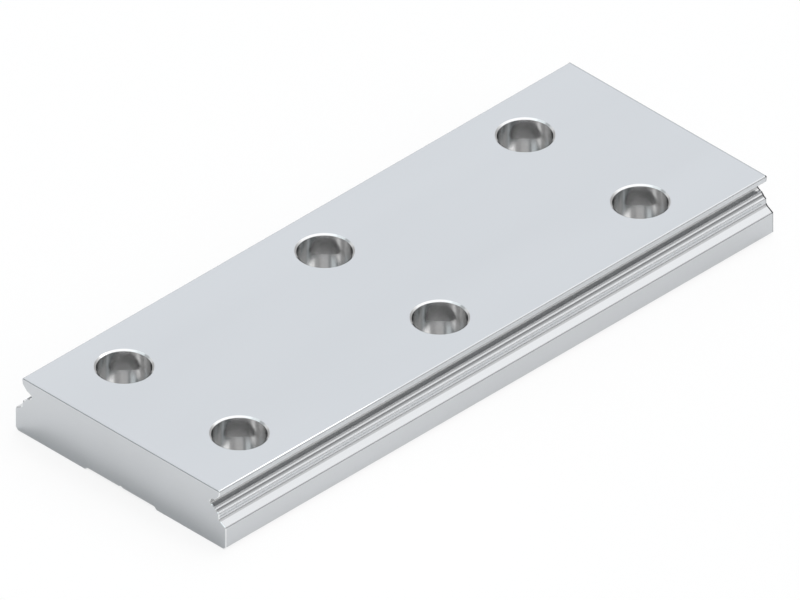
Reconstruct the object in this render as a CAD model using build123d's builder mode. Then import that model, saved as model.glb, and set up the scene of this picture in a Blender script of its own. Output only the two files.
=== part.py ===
from build123d import *

import os
from math import radians, tan

# Wide miniature guide rail: one bar of hardened steel, profile-ground along its whole length.
# X runs along the rail, Y across it and Z up. The origin is the middle of the underside.
# Sizes are in millimetres. Each size across the rail is measured on one side, and both sides match.

# The bar, which is cut to length from a longer one
rail_length = 109.3
rail_width = 42.0
rail_height = 9.5
end_chamfer = 0.1

# Screw holes: a row of counterbored holes near each side, set out from the end at -X
row_from_side = 9.5
hole_pitch = 40.0
first_hole_from_end = 12.2
least_hole_from_end = 10.0
screw_hole_diameter = 4.5
head_recess_diameter = 8.0
head_recess_depth = 4.75
recess_chamfer_width = 0.3
recess_chamfer_depth = 0.2

# Head lip: overhangs the raceway, and leans in a little from its top to its lower corner
lip_thickness = 0.97
lip_lean = 0.15
lip_radius = 0.28

# Raceway: the ground groove that the carriage's balls run in, two arcs that meet in a rounded root
raceway_below_top = 2.48
raceway_mouth = 1.2
raceway_depth = 1.83
raceway_radius = 1.09
raceway_root_radius = 0.15

# Neck: a small cove under the raceway, a wider hollow below it, and an upright face
cove_width = 0.29
cove_rise = 0.33
cove_radius = 0.55
hollow_width = 0.6
hollow_rise = 0.47
hollow_radius = 0.8
neck_face_height = 1.0
neck_radius = 0.2

# Base: a shoulder that slopes down from the neck, and upright sides that take up the rest of the height
shoulder_width = 1.39
shoulder_angle = 30.0
shoulder_radius = 0.3
shoulder_root_radius = 0.65
underside_chamfer = 0.5

# Underside: a wide shallow relief between two seating lands, with a fine scribed groove in its middle
relief_width = 13.4
relief_depth = 0.42
scribe_width = 0.8
scribe_depth = 0.23

# Distances from the middle plane that follow from the sizes above
side = rail_width / 2
neck = side - shoulder_width
lip = neck + lip_lean
hollow_inner = neck - hollow_width
mouth = hollow_inner - cove_width
raceway_bottom = neck - raceway_depth
relief_half = relief_width / 2
scribe_half = scribe_width / 2

# Heights that follow from them, from the top face down
lip_underside = rail_height - lip_thickness
raceway_height = rail_height - raceway_below_top
hollow_top_height = raceway_height - raceway_mouth / 2 - cove_rise
neck_top = hollow_top_height - hollow_rise
shoulder_top = neck_top - neck_face_height
side_height = shoulder_top - shoulder_width * tan(radians(shoulder_angle))

# Corners of the half section, as (distance from the middle plane, height)
scribe_root = (0, relief_depth + scribe_depth)
scribe_edge = (scribe_half, relief_depth)
relief_root = (relief_half, relief_depth)
land_inner = (relief_half + relief_depth, 0)
land_outer = (side - underside_chamfer, 0)
side_bottom = (side, underside_chamfer)
side_top = (side, side_height)
neck_bottom = (neck, shoulder_top)
neck_corner = (neck, neck_top)
hollow_top = (hollow_inner, hollow_top_height)
mouth_bottom = (mouth, raceway_height - raceway_mouth / 2)
raceway_root = (raceway_bottom, raceway_height)
mouth_top = (mouth, raceway_height + raceway_mouth / 2)
lip_bottom = (neck, lip_underside)
lip_top = (lip, rail_height)
top_middle = (0, rail_height)

# Each row has as many holes as the length has room for
room_for_holes = rail_length - first_hole_from_end - least_hole_from_end
holes_per_row = 1 + int(room_for_holes / hole_pitch)
row_spacing = rail_width - 2 * row_from_side
middle_of_holes = first_hole_from_end + (holes_per_row - 1) * hole_pitch / 2 - rail_length / 2


def round_corners(section, corner, radius):
    """Rounds one named corner of the section, on both sides of the rail."""
    across, height = corner
    for place in ((across, height), (-across, height)):
        fillet(section.vertices().sort_by_distance(place)[0], radius)


# The rail section is drawn looking along the rail, ground all round, and drawn out to its length
with BuildPart() as guide_rail:
    with BuildSketch(Plane.YZ.offset(-rail_length / 2)) as rail_section:
        with BuildLine():
            Polyline(scribe_root, scribe_edge, relief_root, land_inner, land_outer)
            Polyline(land_outer, side_bottom, side_top, neck_bottom, neck_corner)
            RadiusArc(neck_corner, hollow_top, hollow_radius)
            RadiusArc(hollow_top, mouth_bottom, cove_radius)
            RadiusArc(mouth_bottom, raceway_root, raceway_radius)
            RadiusArc(raceway_root, mouth_top, raceway_radius)
            Polyline(mouth_top, lip_bottom, lip_top, top_middle)
            mirror(about=Plane.YZ)
        make_face()
        round_corners(rail_section, side_top, shoulder_radius)
        round_corners(rail_section, neck_bottom, shoulder_root_radius)
        round_corners(rail_section, neck_corner, neck_radius)
        round_corners(rail_section, raceway_root, raceway_root_radius)
        round_corners(rail_section, lip_top, lip_radius)
    extrude(amount=rail_length)

    # Both cut ends are deburred all round
    ends = guide_rail.faces().filter_by(Axis.X)
    chamfer(ends.edges(), end_chamfer)

    # The screws come down from the top, and their heads sink below it
    with Locations((middle_of_holes, 0, rail_height)):
        with GridLocations(hole_pitch, row_spacing, holes_per_row, 2):
            CounterBoreHole(screw_hole_diameter / 2, head_recess_diameter / 2, head_recess_depth)
    top_face = guide_rail.faces().sort_by(Axis.Z)[-1]
    recess_rims = top_face.edges().filter_by(GeomType.CIRCLE)
    chamfer(recess_rims, recess_chamfer_width, recess_chamfer_depth, reference=top_face)

guide_rail.part.label = "guide_rail"

os.makedirs("parts", exist_ok=True)
export_step(guide_rail.part, "parts/guide_rail.step")
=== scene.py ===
from math import cos, radians, sin

import bpy
from mathutils import Matrix, Vector


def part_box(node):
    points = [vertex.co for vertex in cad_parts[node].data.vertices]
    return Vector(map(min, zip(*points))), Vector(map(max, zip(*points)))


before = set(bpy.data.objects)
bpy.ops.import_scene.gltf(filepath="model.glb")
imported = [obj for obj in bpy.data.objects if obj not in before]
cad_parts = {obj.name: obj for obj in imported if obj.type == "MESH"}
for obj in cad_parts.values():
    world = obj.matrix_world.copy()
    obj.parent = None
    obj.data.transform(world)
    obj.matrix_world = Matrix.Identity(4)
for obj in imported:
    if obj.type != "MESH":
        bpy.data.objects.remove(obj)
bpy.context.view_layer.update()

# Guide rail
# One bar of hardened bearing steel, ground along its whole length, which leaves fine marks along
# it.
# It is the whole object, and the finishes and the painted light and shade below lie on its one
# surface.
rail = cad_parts["guide_rail"]
rail_low, rail_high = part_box("guide_rail")

ground_dark = (0.585, 0.597, 0.612, 1)
ground_light = (0.625, 0.637, 0.652, 1)
ground_roughness = 0.14
roughness_spread = 0.03
marks_per_metre = (18, 5200, 5200)
marks_detail = 3
marks_middle = 0.5
mark_depth = 0.01e-3
mark_strength = 0.06
tone_per_metre = (12, 90, 90)
tone_detail = 2

steel = bpy.data.materials.new("ground_bearing_steel")
steel.use_nodes = True
nodes = steel.node_tree.nodes
links = steel.node_tree.links
shader = nodes["Principled BSDF"]
shader.inputs["Metallic"].default_value = 1.0
place = nodes.new("ShaderNodeTexCoord")


def split(vector):
    """The three parts of a vector, as sockets."""
    parts = nodes.new("ShaderNodeSeparateXYZ")
    links.new(vector, parts.inputs["Vector"])
    return parts.outputs


def work_out(operation, a, b=0.0, tree=steel.node_tree):
    """One step of arithmetic on two numbers or sockets, in the steel's nodes or in others."""
    step = tree.nodes.new("ShaderNodeMath")
    step.operation = operation
    for socket, value in zip(step.inputs, (a, b)):
        if isinstance(value, (int, float)):
            socket.default_value = value
        else:
            tree.links.new(value, socket)
    return step.outputs["Value"]


def streaks(name, per_metre, detail):
    """Fine marks along the rail: a noise with this many cycles a metre along each axis."""
    stretch = nodes.new("ShaderNodeMapping")
    stretch.name = name + "_stretch"
    stretch.inputs["Scale"].default_value = per_metre
    links.new(place.outputs["Object"], stretch.inputs["Vector"])
    noise = nodes.new("ShaderNodeTexNoise")
    noise.name = name
    noise.inputs["Scale"].default_value = 1.0
    noise.inputs["Detail"].default_value = detail
    links.new(stretch.outputs["Vector"], noise.inputs["Vector"])
    return noise.outputs["Fac"]


def blend(name, low, high, factor, tree=steel.node_tree):
    """A mix of two colours or sockets by a factor, in the steel's nodes or in others."""
    mix = tree.nodes.new("ShaderNodeMix")
    mix.name = name
    mix.data_type = "RGBA"
    for socket, value in (("A", low), ("B", high)):
        if isinstance(value, tuple):
            mix.inputs[socket].default_value = value
        else:
            tree.links.new(value, mix.inputs[socket])
    tree.links.new(factor, mix.inputs["Factor"])
    return mix.outputs["Result"]


point = split(place.outputs["Object"])
from_middle = work_out("ABSOLUTE", point["Y"])
grinding = streaks("grinding_marks", marks_per_metre, marks_detail)
tone = streaks("tone", tone_per_metre, tone_detail)
steel_colour = blend("ground_colour", ground_dark, ground_light, tone)

marks = nodes.new("ShaderNodeBump")
marks.inputs["Strength"].default_value = mark_strength
marks.inputs["Distance"].default_value = mark_depth
links.new(grinding, marks.inputs["Height"])
links.new(marks.outputs["Normal"], shader.inputs["Normal"])

# Screw holes
# Two rows of holes, counterbored from the top before the bar is hardened. Inside them the steel
# is as the drill and the counterbore left it: a little brighter and less smooth than outside.
bored_dark = (0.66, 0.66, 0.66, 1)
bored_light = (0.70, 0.70, 0.70, 1)
bored_roughness = 0.155
first_hole_from_end = 12.2e-3
hole_pitch = 40e-3
row_from_middle = 11.5e-3
recess_radius = 4.02e-3
rim_radius = 4.31e-3


def below(value, limit):
    """1 where a value is below a limit, and 0 elsewhere."""
    return work_out("LESS_THAN", value, limit)


first_hole = rail_low.x + first_hole_from_end
from_first = work_out("ADD", point["X"], hole_pitch / 2 - first_hole)
along = work_out("SUBTRACT", work_out("FLOORED_MODULO", from_first, hole_pitch), hole_pitch / 2)
across = work_out("SUBTRACT", from_middle, row_from_middle)
along_squared = work_out("MULTIPLY", along, along)
across_squared = work_out("MULTIPLY", across, across)
from_axis = work_out("SQRT", work_out("ADD", along_squared, across_squared))
bored = below(from_axis, recess_radius)
bored_colour = blend("bored_colour", bored_dark, bored_light, tone)
steel_colour = blend("with_holes", steel_colour, bored_colour, bored)

# Raceways
# The ground grooves for the balls, one along each side behind the head lip. Their colour is
# painted shade, graded across each groove and darkest a little inside the mouth, where the walls
# mirror each other's shade.
# Painted shade across each groove, darkest a little inside the mouth
raceway_mouth = (0.50, 0.505, 0.51, 1)
raceway_darkest_shade = (0.22, 0.225, 0.23, 1)
raceway_flank = (0.62, 0.625, 0.63, 1)
raceway_root = (0.54, 0.545, 0.55, 1)
raceway_low = 6.40e-3
raceway_high = 8.45e-3
lip_inner = 19.55e-3
mouth_inner = 18.72e-3
root_inner = 17.9e-3
side_facing_x = 0.5


def above(value, limit):
    """1 where a value is above a limit, and 0 elsewhere."""
    return work_out("GREATER_THAN", value, limit)


def all_of(first, *others):
    """1 where every part is 1, and 0 elsewhere."""
    for other in others:
        first = work_out("MULTIPLY", first, other)
    return first


def graded(name, value, start, end, colours):
    """Colours in turn from one value to another, each as (part of the way, colour)."""
    part = nodes.new("ShaderNodeMapRange")
    part.inputs["From Min"].default_value = start
    part.inputs["From Max"].default_value = end
    links.new(value, part.inputs["Value"])
    grade = nodes.new("ShaderNodeValToRGB")
    grade.name = name
    stops = grade.color_ramp.elements
    stops[0].color = colours[0][1]
    stops[1].color = colours[-1][1]
    for position, colour in colours[1:-1]:
        stops.new(position).color = colour
    links.new(part.outputs["Result"], grade.inputs["Fac"])
    return grade.outputs["Color"]


facing = split(nodes.new("ShaderNodeNewGeometry").outputs["Normal"])
along_the_rail = below(work_out("ABSOLUTE", facing["X"]), side_facing_x)
raceway_heights = all_of(above(point["Z"], raceway_low), below(point["Z"], raceway_high))
behind_lip = all_of(raceway_heights, below(from_middle, lip_inner))
raceway = all_of(behind_lip, along_the_rail, above(from_axis, rim_radius))
raceway_painted_shade = graded("raceway_painted_shade", from_middle, mouth_inner, root_inner,
                        ((0, raceway_mouth), (0.23, raceway_darkest_shade), (0.36, raceway_darkest_shade),
                         (0.58, raceway_flank), (1, raceway_root)))
steel_colour = blend("with_raceways", steel_colour, raceway_painted_shade, raceway)

# Necks
# Under each raceway are a small cove and a wider hollow, ground with the same wheel. Their colour
# is
# painted light and shade: painted highlights on the cove, the hollow and the round foot of the
# neck, and painted shade in the corner where the cove and the hollow meet.
# Painted highlights on the cove, hollow and foot; painted shade in the corner between them
cove_painted_highlight = (0.74, 0.75, 0.765, 1)
corner_painted_shade = (0.45, 0.46, 0.47, 1)
neck_colour = (0.69, 0.702, 0.717, 1)
foot_painted_highlight = (0.80, 0.81, 0.825, 1)
mouth_low = 6.42e-3
neck_low = 5.55e-3
neck_outer = 19.75e-3
foot_low = 4.55e-3
foot_high = 4.72e-3
foot_outer = 19.80e-3

neck_heights = all_of(below(point["Z"], mouth_low), above(point["Z"], neck_low))
neck = all_of(neck_heights, above(from_middle, mouth_inner), along_the_rail)
neck_light_and_shade = graded("neck_colour", from_middle, mouth_inner, neck_outer,
                      ((0, cove_painted_highlight), (0.27, cove_painted_highlight), (0.34, corner_painted_shade),
                       (0.52, corner_painted_shade), (0.70, neck_colour), (1, neck_colour)))
steel_colour = blend("with_necks", steel_colour, neck_light_and_shade, neck)
foot_heights = all_of(above(point["Z"], foot_low), below(point["Z"], foot_high))
foot = all_of(foot_heights, below(from_middle, foot_outer), along_the_rail)
foot = all_of(foot, above(from_axis, rim_radius))
steel_colour = blend("with_neck_feet", steel_colour, foot_painted_highlight, foot)

# Lip edges
# The round upper corner of each head lip, and the narrow top of the face below it. They carry a
# painted highlight, coloured a little brighter than the faces.
# Painted highlight along the upper edge of each lip
lip_painted_highlight = (0.67, 0.685, 0.70, 1)
highlight_low = 9.28e-3
highlight_inner = 19.45e-3

lip_edge = all_of(above(point["Z"], highlight_low), above(from_middle, highlight_inner))
lip_highlight = all_of(lip_edge, along_the_rail)
steel_colour = blend("with_lip_edges", steel_colour, lip_painted_highlight, lip_highlight)

# Cut end
# The bar was cut to length at its +X end. A narrow band beside the cut carries painted shade, a
# little darker than the faces, and on the sloping faces the painted shade is nearly black, which
# draws the end's edges as dark lines.
# Painted shade: a dull band beside the cut and nearly black slopes at the +X end
cut_band_painted_shade = (0.44, 0.45, 0.46, 1)
slope_painted_shade = (0.03, 0.03, 0.032, 1)
slope_roughness = 0.7
cut_band = 0.27e-3
end_facing_x = 0.95
slope_facing_z = 0.3
slope_facing_y = 0.2

off_end_face = below(work_out("ABSOLUTE", facing["X"]), end_facing_x)
beside_cut = all_of(above(point["X"], rail_high.x - cut_band), off_end_face)
leaning_out = above(work_out("ABSOLUTE", facing["Y"]), slope_facing_y)
sloping = all_of(above(facing["Z"], slope_facing_z), leaning_out)
dark_slope = all_of(beside_cut, sloping)
steel_colour = blend("beside_the_cut", steel_colour, cut_band_painted_shade, beside_cut)
steel_colour = blend("slopes_at_the_cut", steel_colour, slope_painted_shade, dark_slope)

# Edge highlights
# The rims of the recesses and the edges of the -X end carry a painted highlight: their small
# chamfers are coloured as the brightest parts of the rail.
# Painted highlight on the recess rims and the -X end chamfers
edge_painted_highlight = (0.90, 0.905, 0.91, 1)
rim_low = 9.29e-3
end_reach = 0.105e-3

recess_rim = all_of(below(from_axis, rim_radius), above(point["Z"], rim_low))
end_edge = all_of(below(point["X"], rail_low.x + end_reach), off_end_face)
highlighted_edges = work_out("MAXIMUM", recess_rim, end_edge)
steel_colour = blend("with_painted_edge_highlights", steel_colour, edge_painted_highlight, highlighted_edges)
links.new(steel_colour, shader.inputs["Base Color"])

more_in_holes = work_out("MULTIPLY", bored, bored_roughness - ground_roughness)
more_on_slopes = work_out("MULTIPLY", dark_slope, slope_roughness - ground_roughness)
roughness = work_out("ADD", ground_roughness, more_in_holes)
roughness = work_out("ADD", roughness, more_on_slopes)
off_middle = work_out("SUBTRACT", grinding, marks_middle)
spread = work_out("MULTIPLY", off_middle, 2 * roughness_spread)
links.new(work_out("ADD", roughness, spread), shader.inputs["Roughness"])
rail.material_slots[0].material = steel

# Floor
# A wide sheet of plain white studio paper, which the rail lies on. It isn't part of the object.
# Seen directly it is nearly white, and it keeps a little of the rail's shadow.
floor_half = 3.0
paper_white = (0.8, 0.8, 0.8, 1)
mirrored_white = (0.98, 0.98, 0.98, 1)
seen_glow = 0.85

bpy.ops.mesh.primitive_plane_add(size=2 * floor_half, location=(0, 0, rail_low.z))
floor = bpy.context.object
floor.name = "studio_floor"
paper = bpy.data.materials.new("white_paper")
paper.use_nodes = True
paper_tree = paper.node_tree
paper_shader = paper_tree.nodes["Principled BSDF"]
paper_shader.inputs["Roughness"].default_value = 1.0
paper_shader.inputs["Specular IOR Level"].default_value = 0.0
floor_ray = paper_tree.nodes.new("ShaderNodeLightPath")
seen = floor_ray.outputs["Is Camera Ray"]
seen_or_mirrored = work_out("MAXIMUM", seen, floor_ray.outputs["Is Glossy Ray"], paper_tree)
paper_colour = blend("paper_colour", paper_white, mirrored_white, seen_or_mirrored, paper_tree)
paper_tree.links.new(paper_colour, paper_shader.inputs["Base Color"])
paper_glow = paper_tree.nodes.new("ShaderNodeEmission")
paper_look = paper_tree.nodes.new("ShaderNodeMixShader")
glow_part = work_out("MULTIPLY", seen, seen_glow, paper_tree)
paper_tree.links.new(glow_part, paper_look.inputs["Fac"])
paper_tree.links.new(paper_shader.outputs["BSDF"], paper_look.inputs[1])
paper_tree.links.new(paper_glow.outputs["Emission"], paper_look.inputs[2])
paper_output = paper_tree.nodes["Material Output"]
paper_tree.links.new(paper_look.outputs["Shader"], paper_output.inputs["Surface"])
floor.data.materials.append(paper)

# Studio room
# A pale room with soft lamps overhead, a dim side beyond the -X end and a darker band near the
# horizon, which the rail mirrors as fine dark lines. Straight behind the rail it is plain white.
world = bpy.data.worlds.new("studio")
bpy.context.scene.world = world
world.use_nodes = True
room = world.node_tree
looking = room.nodes.new("ShaderNodeTexCoord").outputs["Generated"]


def eased(value, low, high):
    """0 below low, 1 above high, and a smooth rise between."""
    step = room.nodes.new("ShaderNodeMapRange")
    step.interpolation_type = "SMOOTHSTEP"
    step.inputs["From Min"].default_value = low
    step.inputs["From Max"].default_value = high
    room.links.new(value, step.inputs["Value"])
    return step.outputs["Result"]


def patch(azimuth, elevation, inner, outer):
    """1 within inner degrees of a direction, fading to 0 at outer degrees."""
    turn, rise = radians(azimuth), radians(elevation)
    dot = room.nodes.new("ShaderNodeVectorMath")
    dot.operation = "DOT_PRODUCT"
    dot.inputs[1].default_value = (cos(rise) * cos(turn), cos(rise) * sin(turn), sin(rise))
    room.links.new(looking, dot.inputs[0])
    return eased(dot.outputs["Value"], cos(radians(outer)), cos(radians(inner)))


def towards(level, part, target):
    """Moves a level towards a target by a part from 0 to 1."""
    gap = work_out("SUBTRACT", target, level, room)
    return work_out("ADD", level, work_out("MULTIPLY", part, gap, room), room)


# Each place in the room is an azimuth, an elevation, and an inner and an outer radius, in degrees
ceiling_level = 0.95
dim_side = (180, 40, 50, 80)
dim_side_level = 0.28
overhead_lamp = (-100, 74, 32, 44)
overhead_level = 1.12
horizon_level = 0.42
horizon_top, ceiling_low = 0.40, 0.76

level = towards(ceiling_level, patch(*dim_side), dim_side_level)
level = towards(level, patch(*overhead_lamp), overhead_level)
height = room.nodes.new("ShaderNodeSeparateXYZ")
room.links.new(looking, height.inputs["Vector"])
level = towards(horizon_level, eased(height.outputs["Z"], horizon_top, ceiling_low), level)

# Panels and screens, laid over the room in this order, each as its place and its level
cool_panel = (50, 38, 14, 30)
panels = (
    (-15, 55, 7, 13, 1.36), (14, 56, 9, 16, 1.27), (*cool_panel, 1.10), (-135, 35, 8, 18, 0.80),
    (-172, 37, 5, 12, 1.05), (-40, 42, 7, 16, 0.92), (132, 58, 5, 11, 0.90),
    (98, 32, 5, 12, 0.70), (114, 46, 4, 10, 0.46), (20, 72, 6, 14, 5.6), (-75, 28, 10, 22, 1.85),
)
for azimuth, elevation, inner, outer, panel_level in panels:
    level = towards(level, patch(azimuth, elevation, inner, outer), panel_level)

# The light is slightly cool where the top and the -X end take it from
cool_side = (155, 30, 25, 55)
panel_part = patch(*cool_panel)
side_part = patch(*cool_side)
cool_tints = (("Red", -0.025, -0.07), ("Green", 0, 0), ("Blue", 0.03, 0.03))
room_colour = room.nodes.new("ShaderNodeCombineColor")
for channel, panel_tint, side_tint in cool_tints:
    from_panel = work_out("MULTIPLY", panel_part, panel_tint, room)
    from_side = work_out("MULTIPLY", side_part, side_tint, room)
    tint = work_out("ADD", 1.0, work_out("ADD", from_panel, from_side, room), room)
    room.links.new(work_out("MULTIPLY", level, tint, room), room_colour.inputs[channel])

plain_white = (1, 1, 1, 1)
straight_behind = room.nodes.new("ShaderNodeLightPath").outputs["Is Camera Ray"]
room_look = blend("room_look", room_colour.outputs["Color"], plain_white, straight_behind, room)
room.links.new(room_look, room.nodes["Background"].inputs["Color"])
bpy.context.scene.view_settings.view_transform = "Standard"

# Strip lamp
# A small soft lamp close above the -X end of the rail. It gives the lip edge there its bright
# line, and it lights the floor beside it a little more than the rest.
strip_length = 0.032
strip_width = 0.020
strip_power = 8.0e-4
strip_spread = radians(75)
strip_place = (-0.0051, -0.0073, 0.0563)
lit_place = Vector((-0.0397, -0.020, 0.009))

strip_data = bpy.data.lights.new("strip_lamp", "AREA")
strip_data.shape = "RECTANGLE"
strip_data.size = strip_length
strip_data.size_y = strip_width
strip_data.energy = strip_power
strip_data.spread = strip_spread
strip = bpy.data.objects.new("strip_lamp", strip_data)
bpy.context.scene.collection.objects.link(strip)
strip.location = strip_place
strip.visible_camera = False
strip.rotation_euler = (strip.location - lit_place).to_track_quat("Z", "Y").to_euler()

# Camera
# The photograph is an exact isometric view, along the body diagonal of a cube, and is taken to be
# 800 pixels wide. The rail stands a little below and left of its middle.
image_width = 800
pixels_per_metre = 7088.4
right_of_middle = 0.773e-3
above_middle = 0.607e-3
camera_distance = 0.6

sight = Vector((1, 1, -1)).normalized()
image_right = Vector((1, -1, 0)).normalized()
image_up = image_right.cross(sight)
rail_middle = (rail_low + rail_high) / 2

camera_data = bpy.data.cameras.new("camera")
camera_data.type = "ORTHO"
camera_data.ortho_scale = image_width / pixels_per_metre
camera = bpy.data.objects.new("camera", camera_data)
bpy.context.scene.collection.objects.link(camera)
camera.location = rail_middle - sight * camera_distance
camera.location += image_right * right_of_middle + image_up * above_middle
camera.rotation_euler = Matrix((image_right, image_up, -sight)).transposed().to_euler()
bpy.context.scene.camera = camera
